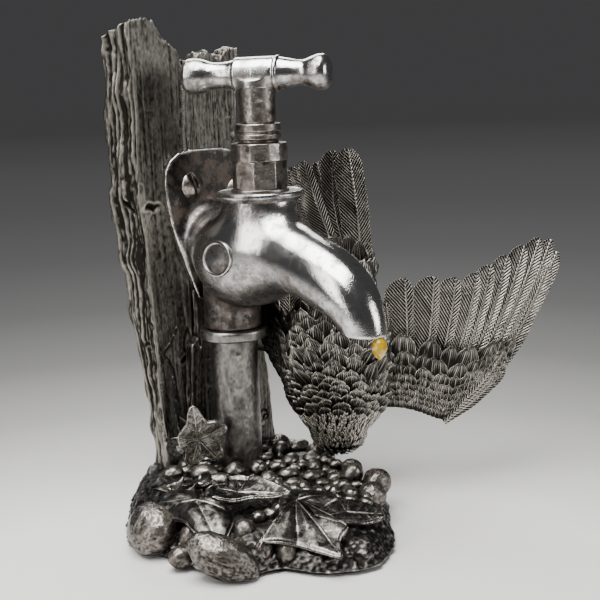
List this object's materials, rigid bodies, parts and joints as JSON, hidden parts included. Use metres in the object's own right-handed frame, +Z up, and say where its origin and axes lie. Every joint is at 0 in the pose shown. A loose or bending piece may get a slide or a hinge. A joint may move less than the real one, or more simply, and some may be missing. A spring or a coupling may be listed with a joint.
{
  "type": "garden tap sculpture",
  "caption": "Silver table sculpture of a screw-down garden tap on a post, with a sparrow, ivy, leaves and stones.",
  "frame": {"origin": "on the floor, straight below the tap's spindle axis, in the plane of the base's felt underside", "axes": "+Z up, the spout points to -Y, the post stands on the +Y side, the sparrow is on the +X side"},
  "size_m": [0.1871, 0.1525, 0.2104],
  "materials": {
    "dark_silver_wood": "oxidised silver, rubbed bright on the ridges",
    "dark_silver_ground": "oxidised silver, polished high spots",
    "dark_silver_bird": "oxidised silver with fine engraved feathers",
    "polished_silver": "polished silver with light tarnish",
    "worn_silver": "worn silver with warm tarnish",
    "brass": "machined",
    "steel": "machined",
    "rubber": "matt",
    "fibre": "pressed fibre",
    "citrine": "faceted",
    "felt": "felt"
  },
  "bodies": {
    "sculpture": {"back_plank": "dark_silver_wood", "base_pad": "felt", "base_screws": "steel", "bird_beak": "dark_silver_bird", "bird_body": "dark_silver_bird", "bird_eyes": "dark_silver_bird", "bird_head": "dark_silver_bird", "bird_legs": "dark_silver_bird", "bird_mount_pin": "polished_silver", "bird_tail": "dark_silver_bird", "body_badge": "polished_silver", "bonnet": "worn_silver", "bonnet_washer": "fibre", "curled_leaves": "dark_silver_ground", "curled_tendril": "dark_silver_wood", "driftwood_post": "dark_silver_wood", "drop_pin": "polished_silver", "gland_nut": "worn_silver", "gland_packing": "fibre", "ground_casting": "dark_silver_ground", "ivy_sprig": "dark_silver_wood", "leaf_front": "dark_silver_ground", "leaf_left": "dark_silver_ground", "leaf_right": "dark_silver_ground", "left_wing": "dark_silver_bird", "pebbles": "dark_silver_ground", "pipe_collar": "worn_silver", "plate_screws": "worn_silver", "right_wing": "dark_silver_bird", "rim_rocks": "dark_silver_ground", "river_stones": "dark_silver_ground", "standpipe": "worn_silver", "tap_body": "polished_silver", "upper_nut": "worn_silver", "valve_seat": "brass", "vine_stem": "dark_silver_wood", "water_drop": "citrine", "wood_splinter": "dark_silver_wood"},
    "jumper": {"jumper_valve": "brass", "tap_washer": "rubber", "washer_nut": "brass"},
    "handle": {"spindle": "brass", "tee_handle": "polished_silver", "handle_pin": "worn_silver"}
  },
  "joints": [
    {"name": "valve_lift", "type": "slide", "parent": "sculpture", "child": "jumper", "axis": [0, 0, 1], "range_m": [0, 0.0051]},
    {"name": "handle_turn", "type": "hinge", "parent": "jumper", "child": "handle", "pos_m": [0, 0, 0.1856], "axis": [0, 0, 1], "range_deg": [0, 720]}
  ],
  "couplings": [
    {"joint": "valve_lift", "follows": "handle_turn", "m_per_rad": 0.00039789}
  ]
}
